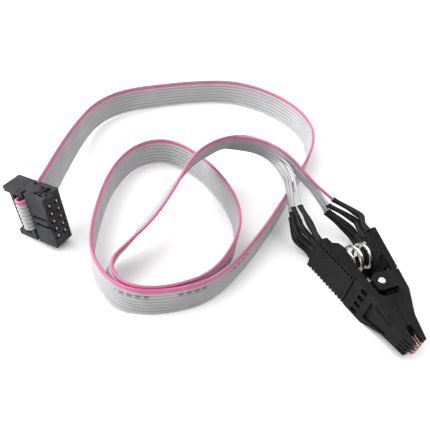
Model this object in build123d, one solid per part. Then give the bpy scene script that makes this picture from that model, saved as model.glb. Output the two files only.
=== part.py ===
from build123d import *
import math
import os

os.makedirs("parts", exist_ok=True)

# ---- driving dimensions, millimetres ------------------------------------------------
# The clip lies on its side: X runs from the handles to the tips, Y from the front jaw
# to the rear jaw, and Z up along the hinge pin, which stands at X = Y = 0.
CLIP_W = 10.8            # width of both jaws along the pin
BACK_X = -17.0           # rear ends of the handles
BEND_X = 4.0             # where a jaw turns towards its tip
TIP_X = 17.0             # ends of the plastic tips
BACK_Y = 9.9             # half spread of the handles, outside
BEND_Y = 5.7
TIP_Y = 2.2
TIP_GAP = 1.0            # each jaw's inner tip face stands this far from the middle
TIP_W = 5.8              # narrowed width at the tips
PLATE = 2.0              # grip plate, outside face to inside face
LINER = 0.3              # skin that closes the contact grooves inside the handles
WALL = 1.2               # side walls
GROOVE_SKIN = 1.3        # plastic left outside a contact's groove
SPLIT = 0.08             # each nose stops this far from the middle plane

LEAD_PITCH = 1.27        # contact pitch at the tips, that of the chip's leads
TAIL_PITCH = 2.54        # contact pitch at the handles
CONTACT_W = 0.6
CONTACT_T = 0.5
TAIL_END_X = -20.2
WINDOW_PITCH = 2.7       # row of four blind windows ahead of the grip panel
NIB_X = 17.7             # contacts stand out of the plastic by this much

PIN_R = 1.1
PIN_CLEAR = 0.06
EAR_R = 2.6
EAR_T = 1.6              # two outer ears on the rear jaw
KNUCKLE_R = 2.3
KNUCKLE_T = 4.2          # one inner knuckle on the front jaw

SPRING_X = -11.4
SPRING_OD = 7.8
SPRING_WIRE = 0.9
SPRING_TURNS = 4.5

PITCH = 1.27             # ribbon conductor pitch
WIRES = 8
RIBBON_W = WIRES * PITCH
RIBBON_T = 0.9
WIRE_D = 0.9
SLEEVE_D = 1.8
SLEEVE_GAP = 0.35        # play between a wire's end and its sleeve's mouth
EDGE_FLARE = 1.6         # the edge wire's sleeve swings wide of its tail by this much

IDC_L = 16.6             # length of the socket, along its rows of holes
IDC_T = 5.8              # thickness across its two rows
IDC_FRONT = 6.75         # mating face, from the middle of its depth
IDC_BACK = -6.75         # back of the strain relief
IDC_AT = (-46.0, -78.8, 1.13)
IDC_TURN = 41.0          # direction of the mating face about Z
IDC_LEAN = 9.35          # the socket stands on its end and leans back by this much
HOLE = 1.5
HOLE_PITCH = 2.54
FOLD_X = -1.05           # middle of the ribbon's fold round the cover
FOLD_R = 1.15
FOLD_Z = IDC_L / 2 + PITCH

MID_Z = CLIP_W / 2

# ---- free cable routes, corner points of straight runs joined by arcs ----------------
RIBBON_ROUTE = [
    (-51.2, -78.5, 10.2), (-58.4, -75.0, 9.5), (-70.0, -70.0, 7.8), (-84.0, -63.0, 6.2),
    (-96.0, -55.0, 5.4), (-102.5, -44.0, 5.3), (-104.0, -29.0, 5.3), (-104.3, -13.0, 5.3),
    (-102.5, 0.5, 5.3), (-94.5, 11.5, 5.3), (-81.5, 18.6, 5.3), (-68.0, 18.6, 5.3),
    (-56.2, 11.9, 5.3), (-44.4, -0.8, 5.3), (-32.3, -14.0, 5.3), (-20.5, -28.6, 5.3),
    (-12.7, -41.9, 5.3), (-12.6, -53.7, 5.3), (-15.1, -62.6, 5.3), (-21.3, -67.9, 5.3),
    (-31.3, -69.4, 5.3), (-45.1, -65.0, 5.3), (-59.3, -58.0, 5.3), (-69.5, -48.5, 5.3),
    (-71.5, -37.7, 5.3), (-63.7, -29.9, 5.3), (-49.8, -25.2, 5.3), (-35.9, -25.0, 5.3),
    (-25.2, -29.8, 5.3), (-15.2, -41.4, 5.3), (-13.9, -53.2, 5.3), (-16.2, -61.4, 5.3),
    (-20.6, -65.4, 5.4), (-25.4, -64.9, 5.8), (-30.0, -60.5, 7.2), (-33.0, -52.5, 10.4),
    (-39.0, -44.0, 14.0), (-46.5, -36.5, 16.6), (-51.8, -29.0, 17.0), (-53.4, -21.0, 16.8),
]

# Four lower wires run to the front jaw and four upper ones to the rear jaw.
# Each list holds the points after the ribbon's end, from the top wire down.
WIRE_ROUTES = [
    [(-51.9, -12.6, 20.7), (-46.4, -5.4, 18.4), (-40.2, -1.2, 15.2),
     (-34.8, 3.6, 11.2), (-32.0, 5.9, 9.9)],
    [(-51.7, -12.7, 19.4), (-46.0, -6.0, 17.1), (-39.6, -2.0, 14.0),
     (-33.8, 2.2, 9.6), (-31.0, 4.4, 8.0)],
    [(-51.5, -12.8, 18.1), (-45.6, -6.6, 15.9), (-39.0, -2.9, 13.0),
     (-33.2, 1.0, 8.0), (-30.2, 3.3, 5.9)],
    [(-51.3, -12.9, 16.8), (-45.2, -7.1, 14.9), (-38.4, -3.9, 12.1),
     (-33.0, 0.2, 6.5), (-29.6, 2.4, 3.7)],
    [(-51.3, -13.5, 15.4), (-45.0, -8.8, 14.6), (-38.4, -7.6, 14.6),
     (-33.2, -8.8, 12.4), (-30.4, -9.6, 10.8)],
    [(-51.2, -13.7, 14.2), (-44.6, -9.6, 13.5), (-38.0, -8.4, 13.5),
     (-33.0, -9.4, 10.8), (-30.4, -10.4, 8.6)],
    [(-51.0, -13.9, 13.0), (-44.2, -10.4, 12.4), (-37.4, -9.2, 12.5),
     (-32.8, -10.0, 8.9), (-30.3, -10.8, 6.4)],
    [(-50.8, -14.2, 11.8), (-43.8, -11.2, 11.4), (-36.8, -10.2, 11.6),
     (-32.6, -10.8, 7.0), (-30.2, -11.4, 4.2)],
]


def outer_y(x, depth=0.0):
    """Front jaw's outside face at x, or a line that lies inside it by depth."""
    if x <= BEND_X:
        rise = (BACK_Y - BEND_Y) / (BEND_X - BACK_X)
        return -BEND_Y - rise * (BEND_X - x) + depth
    rise = (BEND_Y - TIP_Y) / (TIP_X - BEND_X)
    return -BEND_Y + rise * (x - BEND_X) + depth


def plan_prism(points, z0, z1):
    """Prism on an outline in plan, from height z0 to z1."""
    face = make_face(Polyline(*[(x, y, z0) for x, y in points], close=True))
    return extrude(face, amount=z1 - z0, dir=(0, 0, 1))


def side_prism(points, y0, y1):
    """Prism on an outline seen along Y, from y0 to y1."""
    face = make_face(Polyline(*[(x, y0, z) for x, z in points], close=True))
    return extrude(face, amount=y1 - y0, dir=(0, 1, 0))


def solid_box(x0, x1, y0, y1, z0, z1):
    return Pos((x0 + x1) / 2, (y0 + y1) / 2, (z0 + z1) / 2) * Box(x1 - x0, y1 - y0, z1 - z0)


def layer(depth0, depth1, x0, x1):
    """Slab that follows the jaw's outside face between two depths under it."""
    stations = [x0, BEND_X, x1]
    near = [(x, outer_y(x, depth0)) for x in stations]
    far = [(x, outer_y(x, depth1)) for x in reversed(stations)]
    return plan_prism(near + far, -1, CLIP_W + 1)


def track(index, half_width, x0, x1):
    """Strip in side view that runs from a tail's height to a tip's height."""
    tail_z = MID_Z + (index - 1.5) * TAIL_PITCH
    tip_z = MID_Z + (index - 1.5) * LEAD_PITCH
    line = [(x0, tail_z), (-9.0, tail_z), (12.0, tip_z), (x1, tip_z)]
    upper = [(x, z + half_width) for x, z in line]
    lower = [(x, z - half_width) for x, z in reversed(line)]
    return side_prism(upper + lower, -12, 12)


def face_plane(x, z):
    """Plane on the outside face of the front jaw at x and z, looking outwards."""
    step = 0.01
    along = Vector(step, outer_y(x + step) - outer_y(x), 0).normalized()
    normal = Vector(along.Y, -along.X, 0)
    return Plane(origin=(x, outer_y(x), z), x_dir=along, z_dir=normal)


def pocket(x, z, length, width, depth):
    """Rectangular cut of the outside face, length along the jaw."""
    return extrude(face_plane(x, z) * Rectangle(length, width), amount=-depth) + extrude(
        face_plane(x, z) * Rectangle(length, width), amount=0.5
    )


def side_outline(inset, tip_inset):
    """Jaw outline seen along Y: full width, a taper, then the narrow tip."""
    low = inset
    high = CLIP_W - inset
    tip_low = MID_Z - TIP_W / 2 + tip_inset
    tip_high = MID_Z + TIP_W / 2 - tip_inset
    return [
        (BACK_X - 1, low), (BEND_X + 0.3, low), (10.3, tip_low), (NIB_X + 1, tip_low),
        (NIB_X + 1, tip_high), (10.3, tip_high), (BEND_X + 0.3, high), (BACK_X - 1, high),
    ]


def jaw_shell(inner_edge):
    """Channel-shaped jaw in the front position: grip plate, two side walls and tip."""
    outline = [(BACK_X, outer_y(BACK_X)), (BEND_X, -BEND_Y), (TIP_X, -TIP_Y), (TIP_X, -TIP_GAP)]
    outline += [(12.8, -TIP_GAP), (12.2, -SPLIT)] + inner_edge
    body = plan_prism(outline, 0, CLIP_W) & side_prism(side_outline(0, 0), -12, 1)
    inside = [(BACK_X - 1, outer_y(BACK_X - 1, PLATE)), (BEND_X, outer_y(BEND_X, PLATE))]
    inside += [(10.5, outer_y(10.5, PLATE)), (10.5, 2), (BACK_X - 1, 2)]
    body -= plan_prism(inside, 0, CLIP_W) & side_prism(side_outline(WALL, 0.55), -12, 3)
    for index in range(4):
        groove = track(index, CONTACT_W / 2 + 0.08, BACK_X - 1, TIP_X + 1)
        body -= groove & layer(GROOVE_SKIN, PLATE + 0.3, BACK_X - 1, TIP_X + 1)
        body -= pocket(1.35, MID_Z + (index - 1.5) * WINDOW_PITCH, 1.9, 1.5, 0.9)
        tip_z = MID_Z + (index - 1.5) * LEAD_PITCH
        body -= pocket(16.0, tip_z, 2.6, 0.5, 1.6)
    lined = side_prism(side_outline(WALL - 0.1, 0.55), -12, 3)
    body += layer(PLATE, PLATE + LINER, BACK_X, -4.4) & lined
    return finish_face(body)


def finish_face(body):
    """Grip panel's notches and end groove, and the framed panel before the tip."""
    body -= pocket(-2.4, MID_Z, 0.5, CLIP_W + 1, 0.5)
    for count in range(11):
        x = -15.4 + 1.2 * count
        body -= pocket(x, 0.15, 0.7, 0.9, 0.6)
        body -= pocket(x, CLIP_W - 0.75, 0.7, 0.8, 0.6)
    plane = face_plane(7.6, MID_Z)
    frame = plane * make_face(Polyline((-3.5, -3.4), (3.6, -2.3), (3.6, 2.3), (-3.5, 3.4), close=True))
    panel = plane * make_face(Polyline((-2.1, -2.4), (3.6, -1.6), (3.6, 1.8), (-2.1, 2.7), close=True))
    body -= extrude(frame, amount=-0.8)
    body += extrude(panel, amount=-1.1) - extrude(panel, amount=-0.15)
    return body


def front_jaw():
    inner_edge = [
        (4.4, -SPLIT), (4.4, -2.6), (3.4, -3.5), (-1.0, -4.0), (-8.2, -4.2), (-11.6, -3.6),
        (-13.0, -3.9), (-14.4, -4.6), (-15.0, -6.3), (BACK_X, -6.8),
    ]
    body = jaw_shell(inner_edge)
    low = MID_Z - KNUCKLE_T / 2
    high = MID_Z + KNUCKLE_T / 2
    web = plan_prism([(-2.1, -5.2), (2.1, -5.2), (KNUCKLE_R, 0), (-KNUCKLE_R, 0)], low, high)
    knuckle = web + Pos(0, 0, MID_Z) * Cylinder(KNUCKLE_R, KNUCKLE_T)
    for index in range(4):
        knuckle -= track(index, CONTACT_W / 2 + 0.08, -5, 5) & layer(0.0, PLATE + 0.3, -5, 5)
    body += knuckle
    return body - Pos(0, 0, MID_Z) * Cylinder(PIN_R + PIN_CLEAR, CLIP_W + 1)


def rear_jaw():
    inner_edge = [
        (4.4, -SPLIT), (4.5, -2.4), (3.0, -3.1), (1.9, -4.2), (-1.6, -4.8), (-4.4, -5.7), (-7.9, -5.6),
        (-6.6, -3.5), (-9.1, -4.3), (-14.6, -4.5), (-15.0, -6.6), (BACK_X, -8.2),
    ]
    body = jaw_shell(inner_edge)
    for low in (0, CLIP_W - EAR_T):
        outline = [(-2.4, -5.2), (1.8, -5.2), (2.7, -3.2), (2.7, 1.9), (2.2, EAR_R), (0, EAR_R), (-EAR_R, 0)]
        web = plan_prism(outline, low, low + EAR_T)
        body += web + Pos(0, 0, low + EAR_T / 2) * Cylinder(EAR_R, EAR_T)
    body -= Pos(0, 0, MID_Z) * Cylinder(PIN_R + PIN_CLEAR, CLIP_W + 1)
    return mirror(body, about=Plane.XZ)


def contact(index):
    """Formed strip contact of the front jaw: straight tail, groove run and bent nib."""
    depth0 = GROOVE_SKIN + 0.1
    depth1 = depth0 + CONTACT_T
    run_end = 13.6
    tail_y = outer_y(BACK_X, depth0)
    near = [(TAIL_END_X, tail_y), (BACK_X, tail_y), (BEND_X, outer_y(BEND_X, depth0))]
    near += [(run_end, outer_y(run_end, depth0)), (15.2, -0.80), (NIB_X, -0.62)]
    far = [(NIB_X, -0.22), (15.2, -0.30), (run_end, outer_y(run_end, depth1))]
    far += [(BEND_X, outer_y(BEND_X, depth1)), (BACK_X, tail_y + CONTACT_T)]
    far += [(TAIL_END_X, tail_y + CONTACT_T)]
    strip = plan_prism(near + far, -1, CLIP_W + 1)
    return strip & track(index, CONTACT_W / 2, TAIL_END_X, NIB_X)


def pivot_pin():
    pin = Pos(0, 0, MID_Z) * Cylinder(PIN_R, CLIP_W)
    return chamfer(pin.edges().filter_by(GeomType.CIRCLE), 0.2)


def spring():
    """Compression spring between the handles, its axis along Y."""
    seat = -outer_y(SPRING_X + SPRING_OD / 2, PLATE + LINER)
    height = 2 * seat - SPRING_WIRE - 0.3
    radius = (SPRING_OD - SPRING_WIRE) / 2
    coil = Helix(pitch=height / SPRING_TURNS, height=height, radius=radius)
    section = Plane(origin=coil @ 0, z_dir=coil % 0) * Circle(SPRING_WIRE / 2)
    body = sweep(section, path=coil, is_frenet=True)
    return Pos(SPRING_X, height / 2, MID_Z) * Rot(90, 0, 0) * body


def arc_radii(points):
    """Radius at each corner: 0.45 of the shorter run over the tangent of half the turn."""
    radii = []
    for before, here, after in zip(points, points[1:], points[2:]):
        run_in = Vector(*here) - Vector(*before)
        run_out = Vector(*after) - Vector(*here)
        half_turn = math.radians(run_in.get_angle(run_out)) / 2
        radii.append(0.45 * min(run_in.length, run_out.length) / math.tan(half_turn))
    return radii


def cord_path(points):
    return FilletPolyline(*points, radius=arc_radii(points))


def round_tube(points, diameter):
    path = cord_path(points)
    section = Plane(origin=path @ 0, z_dir=path % 0) * Circle(diameter / 2)
    return sweep(section, path=path)


def ribbon_cable():
    """Free stretch of the ribbon, standing on its edge."""
    path = cord_path(RIBBON_ROUTE)
    across = (path % 0).cross(Vector(0, 0, 1)).normalized()
    section = Plane(origin=path @ 0, x_dir=across, z_dir=path % 0) * Rectangle(RIBBON_T, RIBBON_W)
    return sweep(section, path=path)


def wire_start(index):
    """Where conductor 0, the edge one on top, to 7 leaves the ribbon's end."""
    x, y, z = RIBBON_ROUTE[-1]
    return (x, y, z + (3.5 - index) * PITCH)


def wire_route(index):
    return [wire_start(index)] + WIRE_ROUTES[index]


def tail_point(index):
    """End of the contact tail that conductor index is soldered to."""
    tail_y = outer_y(BACK_X, GROOVE_SKIN + 0.1 + CONTACT_T / 2)
    z = MID_Z + (1.5 - index % 4) * TAIL_PITCH
    side = -1 if index < 4 else 1
    return (TAIL_END_X, side * tail_y, z)


def sleeve_route(index):
    """From the wire's end to the contact's tail, arriving straight along X."""
    tail = tail_point(index)
    flare = EDGE_FLARE if index == 0 else 0.1
    knee = (TAIL_END_X - 4.2, tail[1] + flare, tail[2] + 0.1)
    wire_end = Vector(*WIRE_ROUTES[index][-1])
    mouth = wire_end + (Vector(*knee) - wire_end).normalized() * SLEEVE_GAP
    return [(mouth.X, mouth.Y, mouth.Z), knee, tail]


def place_socket(shape):
    return Pos(*IDC_AT) * Rot(0, 0, IDC_TURN) * Rot(0, -IDC_LEAN, 0) * shape


def hole_centres():
    columns = (-2, -1, 0, 1, 2)
    rows = (-1, 1)
    return [(row * HOLE_PITCH / 2, IDC_L / 2 + column * HOLE_PITCH) for row in rows for column in columns]


def idc_socket_body():
    half = IDC_T / 2
    middle = IDC_L / 2
    body = solid_box(0.6, IDC_FRONT, -half, half, 0, IDC_L)
    for y, z in hole_centres():
        body -= solid_box(0.5, IDC_FRONT + 1, y - HOLE / 2, y + HOLE / 2, z - HOLE / 2, z + HOLE / 2)
    body -= solid_box(1.6, IDC_FRONT + 1, -half - 1, -half + 0.7, middle + 0.9, middle + 1.6)
    body -= solid_box(1.6, IDC_FRONT + 1, -half - 1, -half + 0.75, middle - 1.7, middle - 0.4)
    body += solid_box(1.9, IDC_FRONT - 0.3, -half - 0.35, -half + 0.2, middle - 0.3, middle + 0.8)
    for z0, z1, rib0, rib1 in ((-1, 0.9, 0.15, 1.0), (IDC_L - 0.9, IDC_L + 1, IDC_L - 1.0, IDC_L - 0.15)):
        body -= solid_box(0.5, 3.9, -1.6, 1.6, z0, z1)
        body -= solid_box(4.3, 5.9, -1.9, 1.9, z0, z1)
        body += solid_box(4.7, 5.5, -1.3, 0.1, rib0, rib1)
    body -= solid_box(5.7, IDC_FRONT + 1, -1.0, 1.0, IDC_L - 0.9, IDC_L + 1)
    return body


def idc_cover():
    half = IDC_T / 2
    body = solid_box(-1.7, -0.4, -half, half, 0, IDC_L)
    for z0, z1 in ((0, 0.85), (IDC_L - 0.85, IDC_L)):
        body += solid_box(-0.5, 2.7, -1.5, 1.5, z0, z1)
        body += solid_box(2.6, 3.5, -1.0, 1.0, z0, z1)
    return body


def idc_strain_relief():
    half = IDC_T / 2
    body = solid_box(-4.9, -3.7, -half, half, 0, IDC_L)
    for z0, z1 in ((0, 1.7), (IDC_L - 1.7, IDC_L)):
        body += solid_box(IDC_BACK, -1.75, -half, half, z0, z1)
    return body


def idc_contacts():
    blades = []
    for y, z in hole_centres():
        blades.append(solid_box(0.65, 6.5, y + 0.05, y + 0.5, z - 0.5, z + 0.35))
    return Compound(children=blades)


def ribbon_fold():
    """Ribbon through the crimp, round the cover and back under the strain relief."""
    half = IDC_T / 2
    low = FOLD_Z - RIBBON_W / 2
    high = FOLD_Z + RIBBON_W / 2
    turn_y = -half - 0.15
    crimped = FOLD_X + FOLD_R
    returned = FOLD_X - FOLD_R
    body = solid_box(crimped - RIBBON_T / 2, crimped + RIBBON_T / 2, turn_y, half - 0.3, low, high)
    body += solid_box(returned - RIBBON_T / 2, returned + RIBBON_T / 2, turn_y, half + 0.75, low, high)
    ring = Pos(FOLD_X, turn_y, FOLD_Z) * Cylinder(FOLD_R + RIBBON_T / 2, RIBBON_W)
    ring -= Pos(FOLD_X, turn_y, FOLD_Z) * Cylinder(FOLD_R - RIBBON_T / 2, RIBBON_W)
    return body + (ring & solid_box(-8, 8, turn_y - 5, turn_y, 0, IDC_L))


def write(name, shape):
    export_step(shape, "parts/" + name + ".step")


def report_cord(name, points, area, shape):
    path = cord_path(points)
    tightest = min(arc_radii(points))
    print(f"{name}: length {path.length:.1f}, tightest arc {tightest:.1f}, "
          f"volume {shape.volume:.1f} against {area * path.length:.1f}")


write("front_jaw", front_jaw())
write("rear_jaw", rear_jaw())
write("pivot_pin", pivot_pin())
write("spring", spring())
for number in range(8):
    strip = contact(3 - number % 4)
    if number < 4:
        strip = mirror(strip, about=Plane.XZ)
    write("contact_" + str(number + 1), strip)
    wire = round_tube(wire_route(number), WIRE_D)
    report_cord("wire " + str(number + 1), wire_route(number), math.pi * WIRE_D**2 / 4, wire)
    write("wire_" + str(number + 1), wire)
    write("heat_shrink_" + str(number + 1), round_tube(sleeve_route(number), SLEEVE_D))
cable = ribbon_cable()
report_cord("ribbon", RIBBON_ROUTE, RIBBON_W * RIBBON_T, cable)
print("ribbon radii", [round(radius, 1) for radius in arc_radii(RIBBON_ROUTE)])
write("ribbon_cable", cable)
write("ribbon_fold", place_socket(ribbon_fold()))
write("idc_socket_body", place_socket(idc_socket_body()))
write("idc_cover", place_socket(idc_cover()))
write("idc_strain_relief", place_socket(idc_strain_relief()))
write("idc_contacts", place_socket(idc_contacts()))
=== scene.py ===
import math
import bpy
from mathutils import Matrix, Vector


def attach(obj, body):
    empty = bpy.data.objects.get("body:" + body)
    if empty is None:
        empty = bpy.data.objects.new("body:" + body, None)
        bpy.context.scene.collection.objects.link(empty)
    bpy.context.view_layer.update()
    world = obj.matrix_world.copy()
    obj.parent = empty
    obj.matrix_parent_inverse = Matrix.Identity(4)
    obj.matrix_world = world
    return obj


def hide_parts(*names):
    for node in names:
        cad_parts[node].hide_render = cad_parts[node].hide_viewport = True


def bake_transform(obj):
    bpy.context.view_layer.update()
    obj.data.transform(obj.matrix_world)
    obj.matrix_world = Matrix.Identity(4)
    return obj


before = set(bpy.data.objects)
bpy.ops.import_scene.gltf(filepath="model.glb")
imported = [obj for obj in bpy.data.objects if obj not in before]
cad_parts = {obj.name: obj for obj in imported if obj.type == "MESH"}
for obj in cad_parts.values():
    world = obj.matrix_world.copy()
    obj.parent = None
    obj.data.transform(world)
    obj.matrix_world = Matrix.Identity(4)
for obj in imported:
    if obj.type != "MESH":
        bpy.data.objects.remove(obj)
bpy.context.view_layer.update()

scene = bpy.context.scene

# ---- front jaw ------------------------------------------------------------------------
# The jaw that is fixed here. It is moulded in one shot from satin black glass-filled nylon,
# with a knuckle for the hinge pin, grip notches, a framed panel and combs at the tip.
JAW_EDGE = 0.00009        # radius left on moulded edges by the tool
JAW_BLACK = (0.005, 0.005, 0.0054)
JAW_SCUFF = (0.017, 0.017, 0.018)


class Num:
    """A number that varies over a surface. Sums on it become Math nodes."""

    def __init__(self, finish, socket):
        self.finish = finish
        self.socket = socket

    def math(self, operation, *values):
        return self.finish.node("ShaderNodeMath", {"operation": operation}, list(values))

    def __add__(self, other):
        return self.math("ADD", self, other)

    def __sub__(self, other):
        return self.math("SUBTRACT", self, other)

    def __mul__(self, other):
        return self.math("MULTIPLY", self, other)

    def __truediv__(self, other):
        return self.math("DIVIDE", self, other)

    def __gt__(self, other):
        return self.math("GREATER_THAN", self, other)

    def __lt__(self, other):
        return self.math("LESS_THAN", self, other)

    def fraction(self):
        return self.math("FRACT", self)

    __radd__ = __add__
    __rmul__ = __mul__


class Finish:
    """A material, with the few kinds of node that this object's finishes are made of."""

    def __init__(self, name, roughness, metallic=0.0, specular=0.5):
        self.material = bpy.data.materials.new(name)
        self.material.use_nodes = True
        self.tree = self.material.node_tree
        self.shader = self.tree.nodes["Principled BSDF"]
        self.shader.inputs["Roughness"].default_value = roughness
        self.shader.inputs["Metallic"].default_value = metallic
        self.shader.inputs["Specular IOR Level"].default_value = specular

    def node(self, kind, settings, values, output=0):
        made = self.tree.nodes.new(kind)
        for name, value in settings.items():
            setattr(made, name, value)
        pairs = values.items() if isinstance(values, dict) else enumerate(values)
        for key, value in pairs:
            if isinstance(value, Num):
                self.tree.links.new(value.socket, made.inputs[key])
            else:
                made.inputs[key].default_value = value
        return Num(self, made.outputs[output])

    def place(self):
        return self.node("ShaderNodeTexCoord", {}, {}, "Object")

    def stretched(self, scale):
        return self.node("ShaderNodeMapping", {}, {"Vector": self.place(), "Scale": scale})

    def grain(self, scale, detail=3.0, vector=None):
        values = {"Vector": vector or self.place(), "Scale": scale, "Detail": detail}
        return self.node("ShaderNodeTexNoise", {}, values)

    def mix(self, factor, first, second):
        """Colour mix: socket 0 is the factor, 6 and 7 are the two colours."""
        values = {0: factor, 6: rgba(first), 7: rgba(second)}
        return self.node("ShaderNodeMix", {"data_type": "RGBA"}, values, 2)

    def ramp(self, value, low, high):
        """0 below low, 1 above high."""
        values = {"Value": value, "From Min": low, "From Max": high}
        return self.node("ShaderNodeMapRange", {"clamp": True}, values)

    def bump(self, height, distance):
        values = {"Strength": 1.0, "Distance": distance, "Height": height}
        self.wire("Normal", self.node("ShaderNodeBump", {}, values))

    def wire(self, name, value):
        self.tree.links.new(value.socket, self.shader.inputs[name])


def rgba(colour):
    return colour if isinstance(colour, Num) else (*colour, 1.0)


def moulded(name, base, scuffed, roughness, pit_scale):
    """Moulded plastic: fine tool grain, faint flow mottle, and dust in spots."""
    finish = Finish(name, roughness, 0.0, 0.1)
    mottle = finish.grain(420.0, 4.0)
    dust = finish.ramp(finish.grain(1500.0, 5.0), 0.56, 0.74)
    worn = finish.ramp(mottle, 0.35, 0.75) * 0.55 + dust * 0.3
    finish.wire("Base Color", finish.mix(worn, base, scuffed))
    finish.wire("Roughness", mottle * 0.16 + (roughness - 0.06))
    finish.bump(finish.grain(pit_scale, 4.0) + mottle * 0.4, 0.00002)
    return finish.material


def nothing_selected():
    for item in bpy.context.selected_objects:
        item.select_set(False)


def activate(piece):
    nothing_selected()
    piece.select_set(True)
    bpy.context.view_layer.objects.active = piece


def settle(piece, material, angle=32):
    """Own material, and shading that is smooth except across real edges."""
    piece.data.materials.clear()
    piece.data.materials.append(material)
    activate(piece)
    bpy.ops.object.transform_apply(location=True, rotation=True, scale=True)
    bpy.ops.object.shade_smooth_by_angle(angle=math.radians(angle))


def weigh_normals(piece):
    """Flat faces shade flat, and only the rounded edges turn."""
    weighted = piece.modifiers.new("even shading", "WEIGHTED_NORMAL")
    weighted.keep_sharp = True
    weighted.weight = 100
    apply(piece, "even shading")


def apply(piece, name):
    activate(piece)
    bpy.ops.object.modifier_apply(modifier=name)


def solid_copy(node, name):
    """Closed copy of a CAD node's mesh with flat faces whole again."""
    copy = bpy.data.objects.new(name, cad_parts[node].data.copy())
    scene.collection.objects.link(copy)
    copy.matrix_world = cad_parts[node].matrix_world.copy()
    copy.data.materials.clear()
    activate(copy)
    bpy.ops.object.mode_set(mode="EDIT")
    bpy.ops.mesh.select_all(action="SELECT")
    bpy.ops.mesh.remove_doubles(threshold=0.000002)
    bpy.ops.mesh.customdata_custom_splitnormals_clear()
    bpy.ops.mesh.dissolve_limited(angle_limit=math.radians(1.0))
    bpy.ops.object.mode_set(mode="OBJECT")
    return copy


def round_edges(piece, width):
    """Every edge sharper than 35 degrees gets a small radius."""
    bevel = piece.modifiers.new("moulded edge", "BEVEL")
    bevel.width = width
    bevel.segments = 2
    bevel.limit_method = "ANGLE"
    bevel.angle_limit = math.radians(35)
    bevel.use_clamp_overlap = True
    apply(piece, "moulded edge")


jaw_nylon = moulded("jaw nylon", JAW_BLACK, JAW_SCUFF, 0.42, 5200.0)
front = solid_copy("front_jaw", "front_jaw_moulding")
round_edges(front, JAW_EDGE)
settle(front, jaw_nylon, 60)
weigh_normals(front)
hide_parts("front_jaw")
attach(front, "front_half")

# ---- rear jaw -------------------------------------------------------------------------
# The jaw that swings, from the same nylon. Its two ears stand outside the front jaw's
# knuckle and its deep inside is open to the spring.
rear = solid_copy("rear_jaw", "rear_jaw_moulding")
round_edges(rear, JAW_EDGE)
settle(rear, jaw_nylon, 60)
weigh_normals(rear)
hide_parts("rear_jaw")
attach(rear, "rear_half")

# ---- hinge pin ------------------------------------------------------------------------
# A ground steel dowel pressed through the knuckle. Its turned end shows fine rings.
pin_steel = Finish("turned pin steel", 0.24, 1.0)
pin_rings = pin_steel.node(
    "ShaderNodeTexWave",
    {"wave_type": "RINGS", "rings_direction": "Z"},
    {"Vector": pin_steel.place(), "Scale": 2600.0, "Distortion": 0.6},
)
pin_cloud = pin_steel.grain(900.0)
pin_steel.wire("Base Color", pin_steel.mix(pin_cloud, (0.62, 0.61, 0.59), (0.86, 0.85, 0.83)))
pin_steel.wire("Roughness", pin_cloud * 0.2 + 0.16)
pin_steel.bump(pin_rings, 0.000008)
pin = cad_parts["pivot_pin"]
pin.data.materials.clear()
pin.data.materials.append(pin_steel.material)

# ---- spring ---------------------------------------------------------------------------
# A compression spring of nickel-plated wire between the handles. Its turns fan out
# because the handles diverge, and each end turn lies flat on its handle.
SPRING_X = -0.0118
MID_Z = 0.0054            # middle of the clip's thickness
SPRING_RADIUS = 0.0036
SPRING_WIRE = 0.0005
SPRING_TURNS = 4.7
SPRING_STEPS = 26         # points a turn
SPRING_CLOSED = 0.7       # closed part of a turn at each end
SPRING_FLAT = 0.06        # share of half the height that a closed end still climbs
SPRING_START = 0.6        # radians
HANDLE_SLOPE = 0.2        # how fast each handle's inner face leaves the middle plane


def spring_seat(x):
    """Height of the handle's inner face over the middle plane, less the wire."""
    return 0.0034 + HANDLE_SLOPE * (0.004 - x) - SPRING_WIRE - 0.00005


def spring_rise(turn):
    """Share of the height, from -1 to 1, with a closed turn at each end."""
    if turn < SPRING_CLOSED:
        return -1.0 + 2 * SPRING_FLAT * turn / SPRING_CLOSED
    if turn > SPRING_TURNS - SPRING_CLOSED:
        return 1.0 - 2 * SPRING_FLAT * (SPRING_TURNS - turn) / SPRING_CLOSED
    rise = (turn - SPRING_CLOSED) / (SPRING_TURNS - 2 * SPRING_CLOSED)
    return (1 - 2 * SPRING_FLAT) * (2 * rise - 1)


nickel = Finish("nickel-plated wire", 0.28, 1.0)
nickel_cloud = nickel.grain(700.0, 3.0)
nickel_scratch = nickel.grain(60.0, 5.0, nickel.stretched((6.0, 90.0, 6.0)))
nickel.wire("Base Color", nickel.mix(nickel_cloud, (0.62, 0.59, 0.57), (0.88, 0.84, 0.8)))
nickel.wire("Roughness", nickel_scratch * 0.3 + 0.12)
nickel.bump(nickel_scratch, 0.00001)

spring_points = []
for step in range(int(SPRING_TURNS * SPRING_STEPS) + 1):
    turn = step / SPRING_STEPS
    swing = 2 * math.pi * turn + SPRING_START
    x = SPRING_X + SPRING_RADIUS * math.cos(swing)
    z = MID_Z - SPRING_RADIUS * math.sin(swing)
    spring_points.append((x, spring_seat(x) * spring_rise(turn), z))


def drawn_curve(name, points, radius, order=3, resolution=6, sides=4, radii=None):
    """A NURBS curve through a list of control points, with round section."""
    curve = bpy.data.curves.new(name, "CURVE")
    curve.dimensions = "3D"
    curve.resolution_u = resolution
    curve.bevel_depth = radius
    curve.bevel_resolution = sides
    curve.use_fill_caps = True
    line = curve.splines.new("NURBS")
    line.points.add(len(points) - 1)
    for number, point in enumerate(points):
        line.points[number].co = (*point, 1.0)
        line.points[number].radius = radii[number] if radii else 1.0
    line.order_u = order
    line.use_endpoint_u = True
    drawn = bpy.data.objects.new(name, curve)
    scene.collection.objects.link(drawn)
    return drawn


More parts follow.
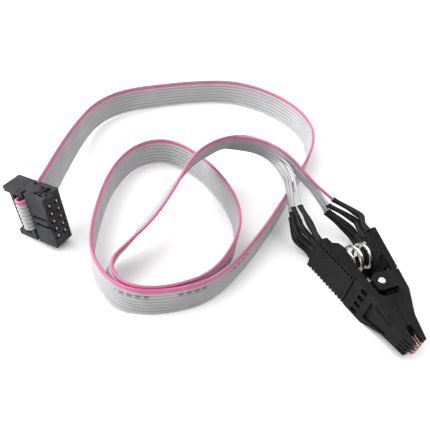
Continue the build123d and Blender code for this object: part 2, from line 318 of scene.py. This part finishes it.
def to_mesh(drawn, name):
    """The curve as a mesh piece of its own, and the curve is gone."""
    bpy.context.view_layer.update()
    graph = bpy.context.evaluated_depsgraph_get()
    mesh = bpy.data.meshes.new_from_object(drawn.evaluated_get(graph))
    piece = bpy.data.objects.new(name, mesh)
    scene.collection.objects.link(piece)
    curve = drawn.data
    bpy.data.objects.remove(drawn)
    bpy.data.curves.remove(curve)
    return piece


coil = to_mesh(drawn_curve("coil", spring_points, SPRING_WIRE, 4, 3), "handle_spring")
settle(coil, nickel.material, 60)
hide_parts("spring")
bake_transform(coil)

# ---- clip contacts --------------------------------------------------------------------
# Eight gold-flashed copper strips, stamped and formed, pushed into grooves in the jaws.
# They show at the tips, in the slots between the jaws, and as solder tails behind.
gilt = Finish("gold-flashed copper", 0.3, 1.0)
gilt_cloud = gilt.grain(800.0, 4.0)
gilt_drawn = gilt.grain(40.0, 4.0, gilt.stretched((12.0, 160.0, 160.0)))
gilt.wire("Base Color", gilt.mix(gilt_cloud, (0.2, 0.11, 0.08), (0.52, 0.34, 0.28)))
gilt.wire("Roughness", gilt_drawn * 0.3 + 0.14)
gilt.bump(gilt_drawn, 0.00001)
for number in range(1, 9):
    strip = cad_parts["contact_%d" % number]
    strip.data.materials.clear()
    strip.data.materials.append(gilt.material)

# ---- ribbon cable ---------------------------------------------------------------------
# Eight stranded conductors side by side in soft grey vinyl, 1.27 mm apart, joined by thin
# webs. The edge conductor is pink. It stands on its edge in two loose rings.
RIBBON_PITCH = 0.00127
RIBBON_WIDTH = 8 * RIBBON_PITCH
RIBBON_HALF = 0.00045     # half thickness over a conductor
WEB_HALF = 0.00014        # half thickness of the web between two conductors
EDGE_HALF = 0.00006       # half thickness at the ribbon's two rounded edges
EDGE_IN = 0.0001          # how far those edges stand inside the ribbon's full width
LOBE_SAMPLES = (-0.000635, -0.00045, -0.00038, -0.00022, 0.0, 0.00022, 0.00038, 0.00045)
RIBBON_STEP = 0.0013      # from one section of the strip to the next
BANKED_FROM = 0.3         # length from which a lean leaves the pink edge where it is
RIBBON_ROUTE = [
    (-0.0512, -0.0785, 0.0102), (-0.0584, -0.0750, 0.0095), (-0.0700, -0.0700, 0.0078),
    (-0.0840, -0.0630, 0.0062), (-0.0960, -0.0550, 0.0054), (-0.1025, -0.0440, 0.0053),
    (-0.1040, -0.0290, 0.0053), (-0.1043, -0.0130, 0.0053), (-0.1025, 0.0005, 0.0053),
    (-0.0945, 0.0115, 0.0053), (-0.0815, 0.0186, 0.0053), (-0.0680, 0.0186, 0.0053),
    (-0.0562, 0.0119, 0.0053), (-0.0444, -0.0008, 0.0053), (-0.0323, -0.0140, 0.0053),
    (-0.0205, -0.0286, 0.0053), (-0.0127, -0.0419, 0.0053), (-0.0126, -0.0537, 0.0053),
    (-0.0151, -0.0626, 0.0053), (-0.0213, -0.0679, 0.0053), (-0.0313, -0.0694, 0.0053),
    (-0.0451, -0.0650, 0.0053), (-0.0593, -0.0580, 0.0053), (-0.0695, -0.0485, 0.0053),
    (-0.0715, -0.0377, 0.0053), (-0.0637, -0.0299, 0.0053), (-0.0498, -0.0252, 0.0053),
    (-0.0359, -0.0250, 0.0053), (-0.0252, -0.0298, 0.0053), (-0.0149, -0.0412, 0.0053),
    (-0.0136, -0.0532, 0.0053), (-0.0159, -0.0615, 0.0053), (-0.0206, -0.0654, 0.0054),
    (-0.0254, -0.0649, 0.0058), (-0.0282, -0.0596, 0.0072), (-0.0318, -0.0519, 0.0104),
    (-0.0388, -0.0441, 0.0140), (-0.0471, -0.0369, 0.0166), (-0.0518, -0.0290, 0.0170),
    (-0.0534, -0.0210, 0.0167), (-0.0517, -0.0158, 0.0165), (-0.0486, -0.0122, 0.0161),
]
# How far the ribbon leans to the left of its run, in degrees, at lengths along it from the
# socket. It leaves the socket with the socket's lean.
RIBBON_LEAN = [
    (0.000, 9.0), (0.012, 8.5), (0.060, 0.0), (0.400, 0.0), (0.4195, -16.0), (0.4255, -27.0),
    (0.4345, -33.0), (0.4455, -28.0), (0.4570, -19.0), (0.4665, -23.0), (0.4745, -31.0),
    (0.4845, -27.0),
]
SPLIT_MARK = 0.4738       # length at which the slits between the wires begin
SOCKET_AT = (-0.0460, -0.0788, 0.00113)
SOCKET_TURN = math.radians(41.0)
SOCKET_LEAN = math.radians(9.35)
socket_place = (
    Matrix.Translation(SOCKET_AT)
    @ Matrix.Rotation(SOCKET_TURN, 4, "Z")
    @ Matrix.Rotation(-SOCKET_LEAN, 4, "Y")
)


def spline_points(points):
    """Points along the NURBS spline that has the given control points."""
    line = to_mesh(drawn_curve("line", points, 0.0, 3, 16), "line")
    found = [vertex.co.copy() for vertex in line.data.vertices]
    bpy.data.meshes.remove(line.data)
    return found


def even_points(line, spacing):
    """The same line with points a steady distance apart, and their lengths along it."""
    lengths = [0.0]
    for before, after in zip(line, line[1:]):
        lengths.append(lengths[-1] + (after - before).length)
    count = max(2, round(lengths[-1] / spacing))
    even, marks, at = [], [], 0
    for step in range(count + 1):
        mark = lengths[-1] * step / count
        while at < len(line) - 2 and lengths[at + 1] < mark:
            at += 1
        share = (mark - lengths[at]) / max(lengths[at + 1] - lengths[at], 1e-9)
        even.append(line[at].lerp(line[at + 1], share))
        marks.append(mark)
    return even, marks


def looked_up(table, mark):
    """Value at a length, eased between the table's rows."""
    for (low, first), (high, second) in zip(table, table[1:]):
        if mark <= high:
            share = max(0.0, (mark - low) / (high - low))
            return first + (second - first) * share * share * (3 - 2 * share)
    return table[-1][1]


def lane_offset(conductor):
    """How far conductor 0, the pink one, to 7 lies from the ribbon's middle."""
    return (3.5 - conductor) * RIBBON_PITCH


def conductor_profile():
    """Offsets across the ribbon from its pink edge, and the half thickness at each."""
    profile = []
    for conductor in range(8):
        for sample in LOBE_SAMPLES:
            lobe = math.sqrt(max(0.0, RIBBON_HALF**2 - sample**2))
            profile.append((lane_offset(conductor) - sample, max(WEB_HALF, lobe)))
    profile[0] = (profile[0][0] - EDGE_IN, EDGE_HALF)
    profile.append((EDGE_IN - RIBBON_WIDTH / 2, EDGE_HALF))
    return profile


def ribbon_strip(name, centres, widths, marks):
    """Scalloped flat strip: one closed ring of the eight-conductor section per centre."""
    profile = conductor_profile()
    count = len(profile)
    vertices, faces, across, along, outer = [], [], [], [], []
    for number, (centre, width) in enumerate(zip(centres, widths)):
        before = centres[max(0, number - 1)]
        after = centres[min(len(centres) - 1, number + 1)]
        forward = (after - before).normalized()
        width = (width - forward * width.dot(forward)).normalized()
        normal = forward.cross(width)
        ring = profile + [(offset, -half) for offset, half in reversed(profile)]
        for offset, half in ring:
            vertices.append(centre + width * offset + normal * half)
            across.append(0.5 - offset / RIBBON_WIDTH)
            along.append(marks[number])
            outer.append(1.0 if half < 0 else 0.0)
    size = 2 * count
    for number in range(len(centres) - 1):
        low, high = number * size, (number + 1) * size
        for side in range(size):
            turn = (side + 1) % size
            faces.append((low + side, low + turn, high + turn, high + side))
    for start, flip in ((0, False), ((len(centres) - 1) * size, True)):
        for side in range(count - 1):
            last = start + size - 1 - side
            cap = [start + side, start + side + 1, last - 1, last]
            faces.append(tuple(cap if flip else reversed(cap)))
    mesh = bpy.data.meshes.new(name)
    mesh.from_pydata(vertices, [], faces)
    layer = mesh.uv_layers.new(name="strip")
    for loop in mesh.loops:
        layer.data[loop.index].uv = (along[loop.vertex_index] * 100, across[loop.vertex_index])
    mesh.attributes.new("printed_side", "FLOAT", "POINT").data.foreach_set("value", outer)
    piece = bpy.data.objects.new(name, mesh)
    scene.collection.objects.link(piece)
    activate(piece)
    bpy.ops.object.mode_set(mode="EDIT")
    bpy.ops.mesh.select_all(action="SELECT")
    bpy.ops.mesh.normals_make_consistent(inside=False)
    bpy.ops.object.mode_set(mode="OBJECT")
    return piece


GREY_VINYL = (0.48, 0.48, 0.485)
GREY_VINYL_DARK = (0.37, 0.37, 0.378)
PINK_VINYL = (0.55, 0.15, 0.29)
PINK_VINYL_DARK = (0.44, 0.10, 0.21)


def vinyl(name, light, dark, flat=False):
    """Soft extruded vinyl with a low sheen. The flat ribbon has streaks, painted shade in the
    webs between conductors, the pink edge, and a row of plain printed dashes on one side."""
    finish = Finish(name, 0.46, 0.0, 0.3)
    mottle = finish.grain(160.0, 4.0)
    fine = finish.grain(2600.0, 3.0)
    shade = finish.ramp(mottle * 0.75 + fine * 0.25, 0.3, 0.72)
    colour = finish.mix(shade, dark, light)
    if flat:
        strip = finish.node("ShaderNodeUVMap", {"uv_map": "strip"}, {})
        along = finish.node("ShaderNodeSeparateXYZ", {}, {"Vector": strip})
        across = finish.node("ShaderNodeSeparateXYZ", {}, {"Vector": strip}, "Y")
        stretched = finish.node(
            "ShaderNodeMapping", {}, {"Vector": strip, "Scale": (0.35, 46.0, 1.0)}
        )
        streak = finish.grain(1.0, 2.0, stretched)
        colour = finish.mix(finish.ramp(streak, 0.35, 0.75) * 0.35, colour, dark)
        # Painted shade: the webs between the conductors are darkened towards dark grey, standing
        # in for the shade that falls in these grooves.
        lane = (across * 8.0).fraction()
        web_shade = (lane < 0.11) + (lane > 0.89)
        colour = finish.mix(web_shade * 0.4, colour, (0.2, 0.2, 0.205))
        side = finish.node("ShaderNodeAttribute", {"attribute_name": "printed_side"}, {}, "Fac")
        stroke = (along * 4.8).fraction() < 0.6
        word = (along / 1.55).fraction() < 0.55
        printed = (along * 0.111 + 0.6).fraction() < 0.46
        dashes = stroke * word * printed * side * (across > 0.24) * (across < 0.36)
        colour = finish.mix(dashes * 0.6, colour, (0.06, 0.06, 0.065))
        edge = finish.mix(shade, PINK_VINYL_DARK, PINK_VINYL)
        colour = finish.mix(across < 0.1245, colour, edge)
        finish.wire("Roughness", streak * 0.16 + 0.36)
        finish.bump(streak + fine * 0.5, 0.00002)
    else:
        finish.wire("Roughness", mottle * 0.2 + 0.34)
        finish.bump(fine, 0.00001)
    finish.wire("Base Color", colour)
    return finish.material


ribbon_vinyl = vinyl("ribbon vinyl", GREY_VINYL, GREY_VINYL_DARK, flat=True)
ribbon_line, ribbon_marks = even_points(spline_points(RIBBON_ROUTE), RIBBON_STEP)
ribbon_widths, ribbon_centres = [], []
for number, centre in enumerate(ribbon_line):
    before = ribbon_line[max(0, number - 1)]
    after = ribbon_line[min(len(ribbon_line) - 1, number + 1)]
    forward = (after - before).normalized()
    left = Vector((-forward.y, forward.x, 0)).normalized()
    upright = left.cross(forward) * -1
    lean = math.radians(looked_up(RIBBON_LEAN, ribbon_marks[number]))
    width = upright * math.cos(lean) + left * math.sin(lean)
    ribbon_widths.append(width)
    if ribbon_marks[number] > BANKED_FROM:
        centre = centre + (upright - width) * (RIBBON_WIDTH / 2)
    ribbon_centres.append(centre)
ribbon = ribbon_strip("ribbon_run", ribbon_centres, ribbon_widths, ribbon_marks)
settle(ribbon, ribbon_vinyl, 50)
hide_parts("ribbon_cable")
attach(ribbon, "front_half")

# ---- separated wires ------------------------------------------------------------------
# The ribbon's end is slit between its conductors. The four upper wires, the pink one
# first, go to the rear jaw and the four lower ones to the front jaw.
WIRE_RADIUS = 0.00046
WIRE_ROUTES = [
    [(-0.0451, -0.0086, 0.0200), (-0.0413, -0.0054, 0.0177), (-0.0379, -0.0030, 0.0154),
     (-0.0336, 0.0001, 0.0128), (-0.0303, 0.0039, 0.0105)],
    [(-0.0456, -0.0086, 0.0189), (-0.0418, -0.0054, 0.0166), (-0.0385, -0.0030, 0.0143),
     (-0.0340, 0.0001, 0.0117), (-0.0299, 0.0023, 0.0089)],
    [(-0.0461, -0.0086, 0.0178), (-0.0424, -0.0054, 0.0155), (-0.0390, -0.0030, 0.0132),
     (-0.0344, 0.0001, 0.0106), (-0.0292, 0.0025, 0.0070)],
    [(-0.0465, -0.0085, 0.0167), (-0.0429, -0.0054, 0.0144), (-0.0395, -0.0030, 0.0121),
     (-0.0348, 0.0001, 0.0095), (-0.0300, 0.0029, 0.0052)],
    [(-0.0439, -0.0079, 0.0173), (-0.0401, -0.0067, 0.0155), (-0.0332, -0.0084, 0.0134),
     (-0.0290, -0.0090, 0.0118)],
    [(-0.0444, -0.0084, 0.0162), (-0.0406, -0.0073, 0.0144), (-0.0350, -0.0087, 0.0119),
     (-0.0310, -0.0096, 0.0094)],
    [(-0.0447, -0.0089, 0.0151), (-0.0405, -0.0080, 0.0134), (-0.0355, -0.0088, 0.0106),
     (-0.0312, -0.0094, 0.0072)],
    [(-0.0449, -0.0094, 0.0140), (-0.0401, -0.0085, 0.0122), (-0.0355, -0.0090, 0.0094),
     (-0.0310, -0.0092, 0.0050)],
]
grey_vinyl = vinyl("grey wire vinyl", GREY_VINYL, GREY_VINYL_DARK)
pink_vinyl = vinyl("pink wire vinyl", PINK_VINYL, PINK_VINYL_DARK)
last_section = len(ribbon_line) - 1
split = min(range(len(ribbon_marks)), key=lambda at: abs(ribbon_marks[at] - SPLIT_MARK))
for number, route in enumerate(WIRE_ROUTES):
    inside = (split, (split + last_section) // 2, last_section)
    control = [ribbon_centres[at] + ribbon_widths[at] * lane_offset(number) for at in inside]
    control += [Vector(point) for point in route]
    line = spline_points(control)
    name = "loose_wire_%d" % (number + 1)
    piece = to_mesh(drawn_curve("wire", control, WIRE_RADIUS, 3, 12, 4), name)
    settle(piece, pink_vinyl if number == 0 else grey_vinyl, 60)
    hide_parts("wire_%d" % (number + 1))
    "edge_wire_insulation" if number == 0 else "ribbon_insulation"
    if number < 4:
        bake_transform(piece)
    else:
        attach(piece, "front_half")

# ---- heat-shrink sleeves --------------------------------------------------------------
# A short black sleeve is shrunk over each solder joint. It bulges over the joint, thins
# towards the wire, and has a rolled lip at each end.
SLEEVE_RADIUS = 0.0009
TAIL_X = -0.0202
TAIL_Y = 0.00825
TAIL_STEP = 0.00254
SLEEVE_LAP = 0.0004       # how far a sleeve's lip laps back over its wire
TAIL_RUN = 0.0031         # from the end of a tail to just behind the jaw's back wall
shrunk = Finish("shrunk sleeve", 0.4, 0.0, 0.14)
sleeve_mottle = shrunk.grain(900.0, 4.0)
sleeve_wrinkle = shrunk.grain(90.0, 4.0, shrunk.stretched((26.0, 7.0, 7.0)))
shrunk.wire("Base Color", shrunk.mix(sleeve_mottle, (0.005, 0.005, 0.0055), (0.018, 0.018, 0.019)))
shrunk.wire("Roughness", sleeve_wrinkle * 0.3 + 0.24)
shrunk.bump(sleeve_wrinkle + sleeve_mottle * 0.4, 0.00006)
SLEEVE_SHAPE = [1.0, 0.86, 0.80, 0.86, 1.10, 1.16, 1.04, 0.94, 1.0, 1.0]
SLEEVE_BENDS = [
    [(-0.0262, 0.0068, 0.0103), (-0.0226, 0.0093, 0.0097)],
    [(-0.0263, 0.0056, 0.0084), (-0.0230, 0.0087, 0.0073)],
    [(-0.0257, 0.0048, 0.0064), (-0.0224, 0.0074, 0.0049)],
    [(-0.0265, 0.0049, 0.0044), (-0.0226, 0.0076, 0.0026)],
    [(-0.0262, -0.0086, 0.0110), (-0.0231, -0.0084, 0.0101)],
    [(-0.0280, -0.0098, 0.0090), (-0.0247, -0.0102, 0.0080)],
    [(-0.0280, -0.0104, 0.0067), (-0.0245, -0.0109, 0.0056)],
    [(-0.0277, -0.0102, 0.0041), (-0.0242, -0.0106, 0.0029)],
]
for number, route in enumerate(WIRE_ROUTES):
    side = 1 if number < 4 else -1
    tail = Vector((TAIL_X, side * TAIL_Y, MID_Z + (1.5 - number % 4) * TAIL_STEP))
    mouth = Vector(route[-1])
    behind = mouth + (Vector(route[-2]) - mouth).normalized() * SLEEVE_LAP
    middle, knee = [Vector(point) for point in SLEEVE_BENDS[number]]
    stops = [behind, mouth, mouth.lerp(middle, 0.5), middle, middle.lerp(knee, 0.5), knee]
    stops += [knee.lerp(tail, 0.5), tail]
    stops += [tail + Vector((run, 0, 0)) for run in (TAIL_RUN - 0.0016, TAIL_RUN)]
    name = "sleeve_%d" % (number + 1)
    sleeve = to_mesh(drawn_curve(name, stops, SLEEVE_RADIUS, 3, 5, 5, SLEEVE_SHAPE), name)
    settle(sleeve, shrunk.material, 50)
    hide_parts("heat_shrink_%d" % (number + 1))
    if number < 4:
        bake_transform(sleeve)
    else:
        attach(sleeve, "front_half")

# ---- ribbon through the socket --------------------------------------------------------
# The ribbon's other end is crimped between socket and cover, folds round the cover's
# edge, and comes back under the strain relief.
SOCKET_LENGTH = 0.0166
SOCKET_HALF = 0.0029
FOLD_X = -0.00105
FOLD_RADIUS = 0.00115
FOLD_Z = SOCKET_LENGTH / 2 + RIBBON_PITCH
FOLD_STEP = 0.0004
FOLD_ARC = 12             # straight pieces in its half turn
fold_line = [Vector((FOLD_X + FOLD_RADIUS, SOCKET_HALF - 0.0003, FOLD_Z))]
turn_y = -SOCKET_HALF - 0.00015
for step in range(FOLD_ARC + 1):
    swing = math.pi * step / FOLD_ARC
    x = FOLD_X + FOLD_RADIUS * math.cos(swing)
    fold_line.append(Vector((x, turn_y - FOLD_RADIUS * math.sin(swing), FOLD_Z)))
fold_line.append(Vector((FOLD_X - FOLD_RADIUS, SOCKET_HALF + 0.0007, FOLD_Z)))
fold_even, fold_marks = even_points(fold_line, FOLD_STEP)
fold_points = [socket_place @ point for point in fold_even]
fold_widths = [(socket_place.to_3x3() @ Vector((0, 0, 1))).normalized()] * len(fold_points)
fold = ribbon_strip("ribbon_fold_strip", fold_points, fold_widths, fold_marks)
settle(fold, ribbon_vinyl, 50)
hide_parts("ribbon_fold")
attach(fold, "front_half")

# ---- socket body, cover and strain relief ---------------------------------------------
# Three mouldings of dark grey polyester: the keyed body with its ten holes, the cover that
# is pressed on over the ribbon, and the strain relief that hooks over both.
SOCKET_GREY = (0.028, 0.028, 0.030)
SOCKET_SCUFF = (0.070, 0.070, 0.074)
socket_plastic = moulded("socket polyester", SOCKET_GREY, SOCKET_SCUFF, 0.5, 4200.0)
for node, name, edge in (
    ("idc_socket_body", "socket_body_moulding", 0.00012),
    ("idc_cover", "socket_cover_moulding", 0.00012),
    ("idc_strain_relief", "strain_relief_moulding", 0.00015),
):
    moulding = solid_copy(node, name)
    round_edges(moulding, edge)
    settle(moulding, socket_plastic, 60)
    weigh_normals(moulding)
    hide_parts(node)
    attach(moulding, "front_half")

# ---- socket contacts ------------------------------------------------------------------
# Ten tin-plated bronze forks, one in each hole, with their tongues just inside the face.
tin = Finish("tin plate", 0.4, 0.6)
tin_cloud = tin.grain(1200.0, 3.0)
tin.wire("Base Color", tin.mix(tin_cloud, (0.4, 0.39, 0.38), (0.66, 0.65, 0.63)))
tin.wire("Roughness", tin_cloud * 0.3 + 0.2)
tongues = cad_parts["idc_contacts"]
tongues.data.materials.clear()
tongues.data.materials.append(tin.material)

# ---- floor, light and camera ----------------------------------------------------------
# A plain pale table top under a wide soft light, seen from the clip's tip end.
FLOOR_SIZE = 3.0
FLOOR_GAP = 0.00002       # keeps the floor's face apart from the faces that stand on it
nothing_selected()
bpy.ops.mesh.primitive_plane_add(size=FLOOR_SIZE, location=(-0.045, -0.03, -FLOOR_GAP))
floor = bpy.context.object
floor.name = "table_top"
pale = Finish("pale table", 0.6, 0.0, 0.2)
pale_cloud = pale.grain(3.0, 2.0)
pale.wire("Base Color", pale.mix(pale_cloud, (0.9, 0.9, 0.9), (0.94, 0.94, 0.94)))
floor.data.materials.append(pale.material)

world = bpy.data.worlds.new("studio")
world.use_nodes = True
background = world.node_tree.nodes["Background"]
background.inputs["Color"].default_value = (1.0, 1.0, 1.0, 1.0)
background.inputs["Strength"].default_value = 0.28
scene.world = world


LIT_AT = (-0.05, -0.03, 0.0)


def soft_light(name, place, size, power):
    lamp = bpy.data.lights.new(name, "AREA")
    lamp.shape = "DISK"
    lamp.size = size
    lamp.energy = power
    item = bpy.data.objects.new(name, lamp)
    scene.collection.objects.link(item)
    item.location = place
    aim = Vector(LIT_AT) - Vector(place)
    item.rotation_euler = aim.to_track_quat("-Z", "Y").to_euler()


soft_light("key", (-0.19, -0.38, 0.34), 0.80, 6.2)
soft_light("fill", (-0.02, 0.14, 0.46), 0.60, 1.8)

CAMERA_AT = (0.0472, -0.0782, 0.1012)
CAMERA_TURN = math.radians(151.3)
CAMERA_TILT = math.radians(44.7)
CAMERA_ROLL = math.radians(10.5)
sight = Vector((
    math.cos(CAMERA_TILT) * math.cos(CAMERA_TURN),
    math.cos(CAMERA_TILT) * math.sin(CAMERA_TURN),
    -math.sin(CAMERA_TILT),
))
level = Vector((math.sin(CAMERA_TURN), -math.cos(CAMERA_TURN), 0))
rise = level.cross(sight)
right = level * math.cos(CAMERA_ROLL) + rise * math.sin(CAMERA_ROLL)
up = rise * math.cos(CAMERA_ROLL) - level * math.sin(CAMERA_ROLL)
lens = bpy.data.cameras.new("camera")
lens.lens = 38.5
lens.sensor_width = 36.0
lens.clip_start = 0.005
camera = bpy.data.objects.new("camera", lens)
scene.collection.objects.link(camera)
camera_turned = Matrix((right, up, -sight)).transposed().to_4x4()
camera.matrix_world = Matrix.Translation(CAMERA_AT) @ camera_turned
scene.camera = camera
scene.view_settings.view_transform = "Standard"
